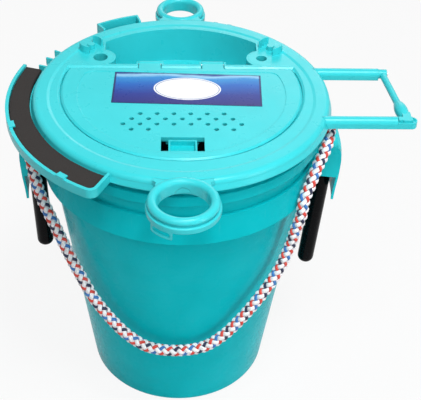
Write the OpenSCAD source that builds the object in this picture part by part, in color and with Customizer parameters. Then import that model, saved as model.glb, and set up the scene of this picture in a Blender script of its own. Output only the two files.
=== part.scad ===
// Aerated bait bucket: a tapered pail with a rope handle, and a fishing lid that carries a tackle
// tray, a hatch with a sprung latch, two rod rings, a hanger for an air pump with a lift-up gate,
// hose holes, line clips, a tool pocket and a foam strip for hooks.
// Origin: centre of the pail's foot, on the floor. +Z up, -Y the front, +X the pump hanger.

/* [Pail] */
// Outer diameter of the pail wall at the floor
pail_base_d = 212; // [204:1:220]
// Outer diameter of the pail wall at the rim
pail_mouth_d = 306; // [300:1:310]
// Height of the pail from the floor to the top of its rim
pail_h = 369.6; // [350:0.2:385]
// Thickness of the pail wall
pail_wall = 2.4; // [2:0.1:3]
// Thickness of the pail floor
pail_floor = 3; // [2:0.5:4]
// Height of the foot ring below the pail floor
foot_h = 4; // [3:0.5:8]
// Width of the foot ring
foot_w = 5; // [3:0.5:8]
// Diameter of the pad under the middle of the floor
foot_pad_d = 30; // [20:1:60]
// How far the rim bead stands out of the wall
rim_out = 2.6; // [2:0.1:3.4]
// Height of the rim bead
rim_h = 8; // [6:0.5:10]

/* [Hoop and collar] */
// Distance from the rim down to the top of the hoop
hoop_drop = 17.6; // [15:0.2:20]
// Height of the hoop
hoop_h = 12; // [8:0.5:14]
// How far the hoop stands out of the wall at its top
hoop_out = 3.8; // [3:0.1:5]
// Distance from the rim down to the top of the wide collar
collar_drop = 48.6; // [45:0.2:54]
// Height of the wide collar
collar_h = 33; // [26:0.5:36]
// How far the collar stands out of the wall at its top
collar_out = 3.6; // [3:0.1:5]
// How much further out the collar's lower edge is than its upper edge
collar_flare = 2; // [0.5:0.1:3]
// Thickness of the hoop and the collar
band_t = 2.2; // [1.8:0.1:2.6]
// Number of webs behind the collar
web_n = 20; // [12:4:28]

/* [Rope ears] */
// Angle that an ear covers, seen from above
ear_angle = 19; // [16:0.5:24]
// How far an ear stands out of the collar's upper edge
ear_out = 28; // [26:0.2:34]
// Height of an ear above its shelf
ear_h = 40; // [34:0.5:62]
// How far the apron hangs below the shelf
ear_apron = 31; // [20:0.5:38]
// Wall thickness of an ear
ear_t = 2.6; // [2:0.1:3]
// Distance from the pail's axis to the rope hole
rope_hole_r = 162; // [160:0.5:164]

/* [Rope] */
// Diameter of the braided rope
rope_d = 12; // [10:0.5:12.5]
// Gap between the rope and its holes, on the radius
rope_gap = 0.6; // [0.4:0.1:1]
// Length of the rubber sleeve on the right rope end
sleeve_right_l = 135; // [90:1:150]
// Length of the rubber sleeve on the left rope end
sleeve_left_l = 108; // [76:1:150]
// Outer diameter of a rubber sleeve
sleeve_d = 19; // [17:0.5:20]
// Distance from the ear's shelf down to the top of the sleeve
sleeve_drop = 12; // [4:0.5:16]
// Lean of the right sleeve towards the pail, in degrees
lean_right = 4; // [1:0.5:5]
// Lean of the left sleeve towards the pail, in degrees
lean_left = 1.5; // [1:0.5:5]

/* [Lid] */
// Thickness of the lid at its rim
deck_t = 2.9; // [2.4:0.1:3.4]
// Gap between the rim bead and the lid's skirt
skirt_gap = 1.2; // [1:0.1:1.6]
// Thickness of the skirt
skirt_t = 2.8; // [2.4:0.1:3.2]
// How far the skirt reaches below the lid's top
skirt_h = 12; // [10:0.5:14]
// How much further out the skirt's lower edge is than its top
skirt_flare = 2; // [1:0.1:2.6]
// Radius of the rounding on the lid's outer edge
edge_round = 6; // [3:0.1:6.5]
// Width of the raised rim on the lid
lid_rim_w = 18.6; // [16:0.2:22]
// How deep the deck inside that rim is sunk
deck_sunk = 0.8; // [0.4:0.1:1]
// Width of the slope from that rim down to the deck
deck_slope = 3; // [1:0.1:4]
// Depth of the plug ring inside the pail's mouth
plug_h = 12; // [8:0.5:14]
// Thickness of the plug ring
plug_t = 2.4; // [2:0.1:3]
// Thickness of the rubber gasket
gasket_t = 2.2; // [1.6:0.1:2.6]
// Running gap between separate bodies that face each other
part_gap = 0.3; // [0.3:0.1:0.5]

/* [Hatch] */
// Radius of the hatch's round edge
hatch_r = 130; // [126:0.5:131]
// Distance from the lid's centre back to the centre of that edge
hatch_cy = 8; // [6:0.5:10]
// Distance from the lid's centre to the hatch's straight back edge
hatch_back = 49; // [46:0.5:50]
// Corner radius of the hatch
hatch_corner = 12; // [8:0.5:16]
// Thickness of the hatch panel
hatch_t = 3.6; // [3:0.1:4.2]
// Gap round the hatch
hatch_gap = 1; // [0.8:0.1:1.4]
// Width of the bevel on each side of that gap
bevel_w = 2.2; // [1:0.1:2.4]
// Depth of the bevel
bevel_h = 1.8; // [0.8:0.1:2]
// Width of the ledge that the hatch closes on
ledge_w = 5; // [4:0.5:7]
// Thickness of the ledge
ledge_t = 2.6; // [2:0.1:3.4]
// Distance from the hatch's side edge in to the sunk label field
field_side = 18; // [12:0.5:24]
// Distance from the hatch's front edge back to that field
field_front = 10; // [6:0.5:14]
// Distance from the hatch's back edge to that field
field_rear = 8; // [5:0.5:12]
// Depth of the sunk label field
field_d = 0.6; // [0.3:0.1:0.8]

/* [Drain holes] */
// Diameter of a drain hole
drain_d = 5; // [3:0.1:5.6]
// Distance between the holes of a row
drain_pitch = 17.5; // [15:0.1:18]
// Distance between rows
drain_row = 9.5; // [8:0.1:10]
// Distance from the lid's centre to the first row
drain_y = 41; // [39:0.5:44]

/* [Latch] */
// Width of the latch window in the hatch
window_w = 44; // [40:0.5:48]
// Length of the latch window
window_l = 24; // [22:0.5:26]
// Distance from the hatch's front edge back to the window
window_edge = 14.5; // [13:0.5:18]
// Width of the latch
latch_w = 29; // [25:0.5:31]
// Travel of the latch
latch_travel = 4; // [2:0.5:4.5]
// Thickness of the latch's walls
latch_t = 2; // [1.6:0.1:2.4]

/* [Hinges] */
// Distance from the lid's centre to the hinge axis
hinge_y = 60; // [59.5:0.1:61]
// Distance from the lid's middle to the centre of each knuckle
hinge_x = 35; // [30:1:40]
// Length of a knuckle
knuckle_l = 24; // [18:0.5:28]
// Outer diameter of a knuckle
knuckle_d = 8; // [7:0.1:8.4]
// Diameter of a hinge pin
pin_d = 3; // [2.5:0.1:3.6]
// Running clearance of a pin, on the radius
pin_gap = 0.06; // [0.03:0.01:0.1]
// Thickness of the lugs that hold a pin
lug_t = 2.5; // [2:0.1:3.5]

/* [Tackle tray] */
// Radius of the tray's back wall, inside
tray_r = 134.5; // [131:0.5:136]
// Distance from the lid's centre to the tray's front wall, inside
tray_y = 55.8; // [55.4:0.1:57]
// Half the width of the tray, inside
tray_half_w = 86; // [80:0.5:88]
// Depth of the tray, inside
tray_h = 42; // [34:0.5:46]
// Thickness of the tray's walls
tray_t = 2.2; // [1.8:0.1:2.4]
// Radius of the lid's corner that is kept round each hose hole
boss_r = 17; // [15:0.5:27]

/* [Hose holes and clips] */
// Diameter of the left hose hole
hose_left_d = 16; // [10:0.5:16]
// Diameter of the right hose hole
hose_right_d = 12; // [8:0.5:16]
// Distance from the lid's middle to a hose hole, sideways
hose_x = 90.5; // [89:0.5:92]
// Distance from the lid's centre to a hose hole, backwards
hose_y = 70; // [69:0.5:72]
// Depth of a hose hole
hose_l = 10; // [8:0.5:14]
// Distance from the lid's centre to a line clip
clip_r = 136; // [134:0.5:140]
// Direction of a line clip, measured from the side
clip_angle = 41.5; // [40:0.5:46]
// Distance from the clip's peg to the outside of its horns
clip_w = 14; // [11:0.5:14]
// Height of the clip's horns
clip_h = 9; // [6:0.5:12]

/* [Rod rings] */
// Bore of the front rod ring
ring_bore = 51; // [44:0.5:52]
// Outer diameter of the front ring's lip
ring_d = 70; // [64:0.5:72]
// Distance from the lid's centre to the front ring's centre
ring_y = 185.5; // [185:0.5:190]
// Bore of the back ring
back_bore = 40; // [36:0.5:42]
// Outer diameter of the back ring's lip
back_d = 57; // [52:0.5:60]
// Distance from the lid's centre to the back ring's centre
back_y = 182.5; // [181:0.5:186]
// Height of a ring
ring_h = 15; // [13:0.5:18]
// How far a ring's top stands above the lid's top
ring_rise = 1.2; // [0:0.1:3]
// How far the band round a ring's foot stands out
ring_band = 1.5; // [1:0.1:2.5]
// Thickness of the neck that joins a ring to the lid
neck_t = 7; // [5:0.5:8]
// Radius of the hollow rounding between the neck and the lid
neck_round = 4.5; // [3:0.5:10]
// Direction of the eyelet under the front ring, seen from the ring's centre
eyelet_angle = 232; // [215:1:250]
// Height of that eyelet
eyelet_h = 9.6; // [8:0.2:12]
// Thickness of the eyelet's loop
eyelet_t = 1.8; // [1.4:0.1:2.4]
// How far the fins stand out of the lid's edge
fin_out = 7; // [4:0.5:9]

/* [Pump hanger] */
// Distance from the lid's middle to the axis of each arm
arm_y = 47.5; // [44:0.5:50]
// Width of an arm
arm_w = 12; // [11:0.5:16]
// Wall thickness of an arm
arm_t = 2; // [1.6:0.1:2.6]
// Reach of the back arm from the lid's centre
arm_back_x = 220; // [210:1:224]
// Reach of the front arm from the lid's centre
arm_front_x = 247; // [243:1:252]
// Length of the saddle at the front arm's end
saddle_l = 21; // [20:0.5:24]
// Thickness of the rim round the saddle
saddle_rim = 1.6; // [1.2:0.1:2]
// Diameter of the gate's rod
gate_d = 7.6; // [6:0.1:9]
// Diameter of the gate's grip
grip_d = 14; // [12:0.5:14]
// Diameter of the gate's pin
gate_pin_d = 5; // [4:0.1:6]

/* [Foam channel] */
// Width of the channel where its outer wall would be round about the lid's centre, inside
foam_w = 20; // [18:0.2:24]
// Offset of that wall's centre towards the front
foam_cy = 7.4; // [5:0.1:9]
// Offset of that wall's centre to the left
foam_cx = 1.5; // [0:0.1:3]
// Direction of the channel's back end
foam_a0 = 161.8; // [160:0.1:166]
// Direction of the channel's front end
foam_a1 = 243.7; // [238:0.1:245]
// Height of the channel's wall
channel_h = 10; // [8:0.5:11]
// Thickness of the channel's floor
channel_t = 2.6; // [2:0.1:3]
// Thickness of the channel's wall
channel_rim = 3.6; // [2.4:0.1:4]
// Radius of the channel's front corner, outside
channel_corner = 9; // [6:0.5:12]
// Thickness of the foam strip
foam_t = 6; // [5:0.1:6.6]

/* [Tool pocket] */
// Direction of the pocket's right end
pocket_a0 = 107.3; // [106:0.1:110]
// Direction of the pocket's left end
pocket_a1 = 124.7; // [120:0.1:128]
// Width of the pocket's slot
pocket_w = 6; // [5:0.1:8]
// Depth of the pocket below the lid's skirt
pocket_h = 16; // [10:0.5:20]
// Thickness of the pocket's walls
pocket_t = 2.4; // [2:0.1:3]

/* [Label] */
// Width of the label
label_w = 160; // [140:1:164]
// Length of the label
label_l = 61; // [50:1:64]
// Thickness of the label
label_t = 0.3; // [0.2:0.05:0.4]

/* [Hidden] */
$fn = 144;
teal = [0.03, 0.72, 0.74];
deep_teal = [0.02, 0.62, 0.66];
black = [0.05, 0.05, 0.05];
steel = [0.7, 0.72, 0.74];
tiny = 0.01;
far = 400;

// Heights and radii of the pail
foot_round = 3;
base_r = pail_base_d / 2;
mouth_r = pail_mouth_d / 2;
function pail_r(z) = base_r + (mouth_r - base_r) * z / pail_h;
rim_r = mouth_r + rim_out;
hoop_top = pail_h - hoop_drop;
hoop_r = pail_r(hoop_top) + hoop_out;
collar_top = pail_h - collar_drop;
collar_foot = collar_top - collar_h;
collar_r = pail_r(collar_top) + collar_out;
collar_foot_r = collar_r + collar_flare;

// Heights and radii of the lid
plate_z = pail_h + part_gap + gasket_t;
lid_top = plate_z + deck_t;
deck_top = lid_top - deck_sunk;
skirt_in_r = rim_r + skirt_gap;
lid_r = skirt_in_r + skirt_t;
skirt_z = lid_top - skirt_h;
skirt_r = lid_r + skirt_flare;
deck_r = lid_r - lid_rim_w;
plug_z = plate_z - plug_h;
plug_r = pail_r(plug_z) - pail_wall - part_gap - 0.2;

// Hatch and latch
hatch_low = deck_top - hatch_t;
ledge_top = hatch_low - part_gap;
ledge_z = ledge_top - ledge_t;
frame_t = 2.4;
field_top = deck_top - field_d;
field_r = hatch_r - field_side;
field_cy = field_r - (hatch_r - hatch_cy - field_front);
field_back = hatch_back - field_rear;
hinge_z = deck_top - knuckle_d / 2 + 0.8;
arm_low = deck_top - 3;
notch_z = arm_low - 0.6;
latch_plate_z = ledge_z - latch_t;
latch_top = deck_top - 0.8;
window_front = hatch_r - hatch_cy - window_edge;
window_y = window_front - window_l;
rail_w = 2;
rail_z = latch_plate_z - part_gap - 1.5;

// Pump hanger and gate
arm_r = arm_w / 2;
arm_z = lid_top - arm_r;
arm_low_z = arm_z - arm_r + 1;
saddle_x = arm_front_x - saddle_l;
saddle_z = arm_z + 1;
gate_hub_l = 9;
gate_x = arm_back_x + part_gap + gate_hub_l / 2;
gate_tab_z = saddle_z + part_gap;
gate_tab_t = 3.4;
gate_tab_w = 9;
saddle_tip_x = arm_front_x - arm_r;
gate_front_x = saddle_x + saddle_l / 2;
grip_end_y = -arm_y + arm_r + 2.5;

// Rod rings
ring_top = lid_top + ring_rise;
ring_z = ring_top - ring_h;

// Foam channel
channel_top = skirt_z + channel_h - 1;
channel_z = channel_top - channel_h;
foam_z = channel_z + channel_t;
foam_r = skirt_r + foam_w;

// Ears
ear_shelf_z = collar_top - ear_h;
ear_foot_z = ear_shelf_z - ear_apron;
ear_r = collar_r + ear_out;

// Arc of n + 1 points about (x, y)
function arc(x, y, r, a0, a1, n = 6) = [for (i = [0:n]) let (a = a0 + (a1 - a0) * i / n)
    [x + r * cos(a), y + r * sin(a)]];

// Wedge between two directions, up to the far distance
module wedge(a0, a1, z0, z1) {
    steps = ceil((a1 - a0) / 30);
    translate([0, 0, z0]) linear_extrude(z1 - z0)
        polygon(concat([[0, 0]], [for (i = [0:steps]) let (a = a0 + (a1 - a0) * i / steps)
            [far * cos(a), far * sin(a)]]));
}

// Profile turned through a sector that is centred on a direction
module sector(angle, points, direction = 0) {
    rotate([0, 0, direction - angle / 2]) rotate_extrude(angle = angle) polygon(points);
}

// Outer form of the pail, filled, which trims what is joined to it
module pail_blank() {
    rotate_extrude() polygon([[0, 0], [base_r, 0], [pail_r(collar_foot), collar_foot],
        [collar_foot_r, collar_foot], [collar_r, collar_top], [pail_r(collar_top), collar_top],
        [mouth_r, pail_h], [0, pail_h]]);
}

module pail_shell() {
    foot_in_r = base_r - foot_round - foot_w;
    color(deep_teal) {
        rotate_extrude() polygon(concat(
            [[0, 0], [foot_pad_d / 2, 0], [foot_pad_d / 2, foot_h], [foot_in_r, foot_h],
             [foot_in_r, 0]],
            arc(base_r - foot_round, foot_round, foot_round, -90, 0),
            [[pail_r(collar_top - band_t), collar_top - band_t],
             [collar_r - band_t, collar_top - band_t],
             [collar_foot_r - band_t, collar_foot], [collar_foot_r, collar_foot],
             [collar_r, collar_top], [pail_r(collar_top), collar_top],
             [pail_r(hoop_top - band_t), hoop_top - band_t],
             [hoop_r - band_t, hoop_top - band_t], [hoop_r - band_t, hoop_top - hoop_h],
             [hoop_r, hoop_top - hoop_h]],
            arc(hoop_r - 1, hoop_top - 1, 1, 0, 90, 3),
            [[pail_r(hoop_top), hoop_top], [pail_r(pail_h - rim_h), pail_h - rim_h],
             [rim_r, pail_h - rim_h + 1]],
            arc(rim_r - 2, pail_h - 2, 2, 0, 90, 4),
            arc(mouth_r - pail_wall + 1, pail_h - 1, 1, 90, 180, 3),
            [[pail_r(foot_h + pail_floor) - pail_wall, foot_h + pail_floor],
             [0, foot_h + pail_floor]]));
        for (i = [0:web_n - 1]) rotate([0, 0, (i + 0.5) * 360 / web_n])
            translate([pail_r(collar_top) - pail_wall / 2, -0.8, collar_foot + 6])
                cube([collar_r - band_t / 2 - pail_r(collar_top) + pail_wall / 2, 1.6,
                      collar_h - 6 - band_t / 2]);
    }
}

// Housing that the rope passes through: a shelf and a top with a rope hole, cheeks, and an apron
module rope_ear() {
    top_z = collar_top;
    h = ear_h;
    side = [[ear_r - 0.2 * ear_out, top_z], [ear_r - 0.08 * ear_out, top_z - 0.08 * h],
            [ear_r - 0.02 * ear_out, top_z - 0.22 * h], [ear_r, top_z - 0.42 * h],
            [ear_r - 0.01 * ear_out, top_z - 0.64 * h], [ear_r - 0.04 * ear_out, ear_shelf_z],
            [ear_r - 0.1 * ear_out, ear_shelf_z - 0.5 * ear_apron],
            [ear_r - 0.14 * ear_out, ear_foot_z]];
    outer = concat([[collar_r - 2, top_z]], side,
        [[side[7][0] - ear_t, ear_foot_z], [side[6][0] - ear_t, side[6][1]],
         [side[5][0] - ear_t, ear_shelf_z], [pail_r(ear_shelf_z), ear_shelf_z]]);
    room = concat([[collar_r - 20, top_z - ear_t], [side[0][0] - ear_t, top_z - ear_t]],
        [for (i = [2:4]) [side[i][0] - ear_t, side[i][1]]],
        [[side[5][0] - ear_t, ear_shelf_z + ear_t], [collar_r - 20, ear_shelf_z + ear_t]]);
    cheek_angle = 2 * asin(ear_t / collar_r);
    color(teal) difference() {
        sector(ear_angle, outer);
        sector(ear_angle - cheek_angle, room);
        translate([rope_hole_r, 0, ear_shelf_z - 1])
            cylinder(r = rope_d / 2 + rope_gap, h = ear_h + 2);
        pail_blank();
    }
}
module rope_ear_right() rope_ear();
module rope_ear_left() mirror([1, 0, 0]) rope_ear();

// Straight rope through the ear, then its end inside the rubber sleeve
sleeve_top = ear_shelf_z - sleeve_drop;
tail_in = 60;
tail_r = rope_d / 2 - 0.2;
module rope_tail(lean) {
    color([0.9, 0.9, 0.92]) {
        translate([rope_hole_r, 0, sleeve_top]) cylinder(d = rope_d, h = collar_top - sleeve_top);
        translate([rope_hole_r, 0, sleeve_top]) rotate([0, lean, 0])
            translate([0, 0, -tail_in]) cylinder(r = tail_r, h = tail_in + 1);
    }
}
module rope_tail_right() rope_tail(lean_right);
module rope_tail_left() mirror([1, 0, 0]) rope_tail(lean_left);

module rope_sleeve(sleeve_l, lean) {
    r = sleeve_d / 2;
    bore_r = tail_r;
    color(black) translate([rope_hole_r, 0, sleeve_top]) rotate([0, lean, 0])
        translate([0, 0, -sleeve_l - 1]) rotate_extrude() polygon(concat(
            [[0, 0]], arc(r - 8, 8, 8, -90, 0), arc(bore_r + 0.5, sleeve_l - r + bore_r + 0.5,
            r - bore_r - 0.5, 0, 90), [[bore_r, sleeve_l], [bore_r, sleeve_l + 1 - tail_in],
            [0, sleeve_l + 1 - tail_in]]));
}
module rope_sleeve_right() rope_sleeve(sleeve_right_l, lean_right);
module rope_sleeve_left() mirror([1, 0, 0]) rope_sleeve(sleeve_left_l, lean_left);

// Route of the rope handle, from the right ear to the left ear
rope_route = [[162, 0, 321], [162, 0, 324], [162, -3, 336], [162, -12, 345], [161, -24, 348],
    [158, -36, 347], [155, -48, 342], [149, -60, 334], [142, -72, 325], [135, -84, 313],
    [129, -93, 301], [127, -97, 283], [122, -98, 262], [118, -98, 240], [104, -106, 205],
    [82, -119, 175], [61, -125, 147], [46, -128, 131], [28, -130, 118], [-2, -131, 112],
    [-34, -128, 114], [-52, -124, 123], [-68, -118, 135], [-95, -105, 166], [-106, -99, 186],
    [-117, -91, 207], [-128, -82, 229], [-138, -73, 250], [-147, -64, 267], [-153, -59, 283],
    [-157, -55, 301], [-160, -50, 319], [-161, -45, 335], [-162, -36, 345], [-162, -24, 348],
    [-162, -12, 345], [-162, -3, 336], [-162, 0, 324], [-162, 0, 321]];
rope_sides = 10;

// Ring of points about a route point, square to the route there
function unit(v) = v / norm(v);
function route_dir(p, i) = i == 0 ? [0, 0, 1] : i == len(p) - 1 ? [0, 0, -1]
    : unit(unit(p[i + 1] - p[i]) + unit(p[i] - p[i - 1]));
function ring_at(p, i, r) = let (t = route_dir(p, i), n = unit(cross(t, [p[i][0], p[i][1], 0])),
    b = cross(t, n)) [for (k = [0:rope_sides - 1]) let (a = 360 * k / rope_sides)
    p[i] + r * (cos(a) * n + sin(a) * b)];

module rope_handle() {
    n = len(rope_route);
    s = rope_sides;
    points = [for (i = [0:n - 1]) each ring_at(rope_route, i, rope_d / 2)];
    sides = [for (i = [0:n - 2], k = [0:s - 1]) let (a = i * s + k, b = i * s + (k + 1) % s)
        each [[a, b, b + s], [a, b + s, a + s]]];
    color([0.9, 0.9, 0.92]) polyhedron(points, concat(sides,
        [[for (k = [s - 1:-1:0]) k]], [[for (k = [0:s - 1]) (n - 1) * s + k]]));
}

// D-shaped block with sloping sides: a round front and a straight back with rounded corners
module d_block(r, cy, back, corner, low, high, z0, z1) {
    h = z1 - z0;
    corner_x = sqrt(pow(r - corner, 2) - pow(back - corner - cy, 2));
    corner_y = back - corner;
    out = unit([corner_x, corner_y - cy]);
    difference() {
        intersection() {
            translate([0, cy, z0]) cylinder(r1 = r + low, r2 = r + high, h = h);
            rotate([90, 0, 90]) translate([0, 0, -far / 2]) linear_extrude(far)
                polygon([[-far, z0], [back + low, z0], [back + high, z1], [-far, z1]]);
        }
        for (side = [-1, 1]) difference() {
            translate([0, 0, z0 - 1]) linear_extrude(h + 2) polygon([[side * corner_x, corner_y],
                [side * corner_x, corner_y + 60], [side * (corner_x + 90 * out[0]), corner_y + 60],
                [side * (corner_x + 60 * out[0]), corner_y + 60 * out[1]]]);
            translate([side * corner_x, corner_y, z0]) cylinder(r1 = corner + low,
                r2 = corner + high, h = h);
            translate([side * corner_x, corner_y, z0 - 1]) cylinder(r = corner + low, h = 1.001);
            translate([side * corner_x, corner_y, z1 - 0.001]) cylinder(r = corner + high, h = 2);
        }
    }
}
module hatch_block(low, high, z0, z1)
    d_block(hatch_r, hatch_cy, hatch_back, hatch_corner, low, high, z0, z1);

// Plan of the tray between its walls, grown by g, with the corners round the hose holes left out
module tray_block(g, z0, z1) {
    difference() {
        intersection() {
            translate([0, 0, z0]) cylinder(r = tray_r + g, h = z1 - z0);
            translate([-tray_half_w - g, tray_y - g, z0])
                cube([2 * (tray_half_w + g), tray_r, z1 - z0]);
        }
        for (side = [-1, 1]) translate([side * hose_x, hose_y, z0 - 1])
            cylinder(r = boss_r - g, h = z1 - z0 + 2);
    }
}

// Outer form of the lid, filled, which trims what is joined to it
module lid_blank() {
    rotate_extrude() polygon(concat([[0, skirt_z], [skirt_r, skirt_z]],
        arc(lid_r - edge_round, lid_top - edge_round, edge_round, 0, 90),
        [[deck_r + deck_slope, lid_top], [deck_r, deck_top], [0, deck_top]]));
}

// The same form with the pail's mouth below it, as wide as the seat under the skirt's edge
module lid_seat() {
    lid_blank();
    cylinder(r = skirt_r - 1.5, h = skirt_z);
}

// Bores of both rings where they cut the lid's flared edge
module ring_bores() {
    translate([0, -ring_y, ring_z - 1]) cylinder(d = ring_bore, h = ring_h + 4);
    translate([0, back_y, ring_z - 1]) cylinder(d = back_bore, h = ring_h + 4);
}

module lid_shell() {
    color(teal) difference() {
        union() {
            rotate_extrude() polygon(concat([[0, plate_z], [plug_r - plug_t, plate_z],
                [plug_r - plug_t, plug_z], [plug_r - 1, plug_z], [plug_r, plug_z + 1],
                [plug_r, plate_z], [skirt_in_r, plate_z], [skirt_r - skirt_t, skirt_z],
                [skirt_r, skirt_z]],
                arc(lid_r - edge_round, lid_top - edge_round, edge_round, 0, 90),
                [[deck_r + deck_slope, lid_top], [deck_r, deck_top], [0, deck_top]]));
            hatch_block(hatch_gap + frame_t, hatch_gap + frame_t, ledge_z, plate_z + tiny);
            for (side = [-1, 1]) translate([side * hose_x, hose_y, deck_top - hose_l])
                cylinder(r = (side < 0 ? hose_left_d : hose_right_d) / 2 + 3, h = hose_l - 1);
        }
        hatch_block(hatch_gap, hatch_gap, ledge_top, deck_top - bevel_h + tiny);
        hatch_block(hatch_gap, hatch_gap + bevel_w, deck_top - bevel_h, deck_top + tiny);
        hatch_block(-ledge_w, -ledge_w, ledge_z - 1, ledge_top + tiny);
        tray_block(tray_t, plate_z - 20, lid_top + 1);
        translate([-hose_x, hose_y, deck_top - hose_l - 1])
            cylinder(d = hose_left_d, h = hose_l + 2);
        translate([hose_x, hose_y, deck_top - hose_l - 1])
            cylinder(d = hose_right_d, h = hose_l + 2);
        for (side = [-1, 1]) translate([side * hinge_x - knuckle_l / 2 - 1, hatch_back - 4, notch_z])
            cube([knuckle_l + 2, tray_y - hatch_back + 4, 20]);
        ring_bores();
    }
}

module lid_gasket() {
    color(black) translate([0, 0, plate_z - gasket_t]) difference() {
        cylinder(r = skirt_in_r - 0.4, h = gasket_t);
        translate([0, 0, -1]) cylinder(r = plug_r + 0.4, h = gasket_t + 2);
    }
}

module tackle_tray() {
    lug_x = hinge_x - knuckle_l / 2 - 0.5 - lug_t;
    pitch = knuckle_l + 1 + lug_t;
    color(teal) difference() {
        union() {
            difference() {
                tray_block(tray_t, deck_top - tray_h - tray_t, deck_top);
                tray_block(0, deck_top - tray_h, deck_top + 1);
            }
            for (side = [-1, 1], i = [0, 1])
                translate([side * (lug_x + i * pitch + lug_t / 2) - lug_t / 2, tray_y - tiny, 0]) {
                    translate([0, 0, hinge_z - 9]) cube([lug_t, hinge_y - tray_y, 9 + 3]);
                    translate([0, hinge_y - tray_y, hinge_z]) rotate([0, 90, 0])
                        cylinder(r = 3.4, h = lug_t);
                }
        }
        for (side = [-1, 1]) {
            translate([side * hinge_x - knuckle_l / 2 - 1, tray_y - tray_t - 1, notch_z])
                cube([knuckle_l + 2, tray_t + 1 + tiny, 20]);
            translate([side * hinge_x - knuckle_l, hinge_y, hinge_z]) rotate([0, 90, 0])
                cylinder(d = pin_d, h = 2 * knuckle_l);
        }
    }
}

module hinge_pin(side) {
    l = knuckle_l + 1 + 2 * lug_t;
    color(steel) translate([side * hinge_x - l / 2, hinge_y, hinge_z]) rotate([0, 90, 0])
        cylinder(d = pin_d, h = l);
}
module hinge_pin_left() hinge_pin(-1);
module hinge_pin_right() hinge_pin(1);

// Plan of the neck between the lid and a ring of outer radius r about (0, y), with hollow roundings
module ring_neck(y, r) {
    lid_reach = lid_r + neck_round;
    ring_reach = r + neck_round;
    cy = (pow(lid_reach, 2) - pow(ring_reach, 2) + y * y) / (2 * y);
    cx = sqrt(pow(lid_reach, 2) - cy * cy);
    for (side = [-1, 1]) {
        c = [side * cx, cy];
        ring_side = [0, y] + (c - [0, y]) * r / ring_reach;
        difference() {
            linear_extrude(neck_t) polygon([[0, lid_r - 10], c * lid_r / lid_reach * 0.97,
                c * lid_r / lid_reach, c, ring_side, [0, y]]);
            translate([c[0], c[1], -1]) cylinder(r = neck_round, h = neck_t + 2);
        }
    }
}

// Rod ring about (0, y) with a rounded lip, a groove and a band below it, and its neck
module rod_ring(y, bore, outer_d) {
    bore_r = bore / 2;
    lip_out = outer_d / 2;
    lip_r = (lip_out - bore_r) / 2;
    groove_z = ring_top - 1.45 * lip_r;
    band_z = groove_z - ring_band;
    color(teal) difference() {
        union() {
            translate([0, y, 0]) rotate_extrude() polygon(concat(
                [[bore_r, ring_z], [lip_out + ring_band - 1, ring_z],
                 [lip_out + ring_band, ring_z + 1], [lip_out + ring_band, band_z - 1],
                 [lip_out + ring_band - 1, band_z], [lip_out - ring_band, band_z],
                 [lip_out - ring_band, groove_z], [lip_out - 0.2 * lip_r, ring_top - 1.2 * lip_r]],
                arc(bore_r + lip_r, ring_top - lip_r, lip_r, 0, 180, 10)));
            difference() {
                translate([0, 0, ring_top - neck_t - 0.35 * lip_r]) ring_neck(y, lip_out);
                translate([0, y, ring_z]) cylinder(r = bore_r + lip_r, h = ring_h);
            }
        }
        lid_blank();
        translate([0, 0, ring_z - 1]) cylinder(r = skirt_in_r, h = ring_h / 2);
    }
}
module rod_ring_back() rod_ring(back_y, back_bore, back_d);

// Loop under the band of the front ring
module eyelet() {
    r = ring_d / 2 + ring_band;
    slot_r = (eyelet_h - 2 * eyelet_t) / 2;
    half = 20;
    translate([0, 0, ring_z]) rotate([0, 0, eyelet_angle - half]) difference() {
        rotate_extrude(angle = 2 * half) polygon([[r - eyelet_t, -eyelet_h + eyelet_t],
            [r, -eyelet_h + eyelet_t], [r, 1], [r - eyelet_t, 1]]);
        rotate([0, 0, half]) translate([0, 0, -slot_r]) rotate([0, 90, 0]) {
            for (side = [-1, 1]) translate([0, side * (r * sin(half) - slot_r - eyelet_t), 0])
                cylinder(r = slot_r, h = far);
            translate([-slot_r, -(r * sin(half) - slot_r - eyelet_t), 0])
                cube([2 * slot_r, 2 * (r * sin(half) - slot_r - eyelet_t), far]);
        }
    }
}

module rod_ring_front() {
    color(teal) union() {
        mirror([0, 1, 0]) rod_ring(ring_y, ring_bore, ring_d);
        translate([0, -ring_y, 0]) eyelet();
    }
}

// Three small fins on the lid's edge, to hang a rig on, and two finger bumps at its back
module rim_fins() {
    color(teal) difference() {
        union() {
            for (a = [149, 155, 161]) rotate([0, 0, a]) translate([lid_r - 5, -1, skirt_z + 1])
                cube([5 + fin_out, 2, skirt_h - 3]);
            for (a = [69, 75]) rotate([0, 0, a]) translate([lid_r - 5, -2.5, skirt_z + 3])
                cube([5 + 0.5 * fin_out, 5, skirt_h - 7]);
        }
        lid_blank();
    }
}

// Arm with a half-round top, open below, from the lid's skirt out to x1
module pump_arm(x1) {
    color(teal) difference() {
        union() {
            translate([skirt_in_r - 14, 0, arm_z]) rotate([0, 90, 0])
                cylinder(r = arm_r, h = x1 - skirt_in_r + 14);
            translate([skirt_in_r - 14, -arm_r, arm_low_z])
                cube([x1 - skirt_in_r + 14, arm_w, arm_z - arm_low_z]);
        }
        translate([0, 0, arm_z]) rotate([0, 90, 0]) cylinder(r = arm_r - arm_t, h = x1 - arm_t);
        translate([0, -arm_r + arm_t, arm_low_z - far])
            cube([x1 - arm_t, arm_w - 2 * arm_t, arm_z - arm_low_z + far]);
        translate([0, -arm_r - 1, arm_low_z - far]) cube([far, arm_w + 2, far]);
    }
}

module pump_arm_back() {
    difference() {
        translate([0, arm_y, 0]) pump_arm(arm_back_x);
        lid_seat();
        translate([arm_back_x - 8, arm_y, arm_z]) rotate([0, 90, 0])
            cylinder(d = gate_pin_d, h = 20);
    }
}

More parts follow.
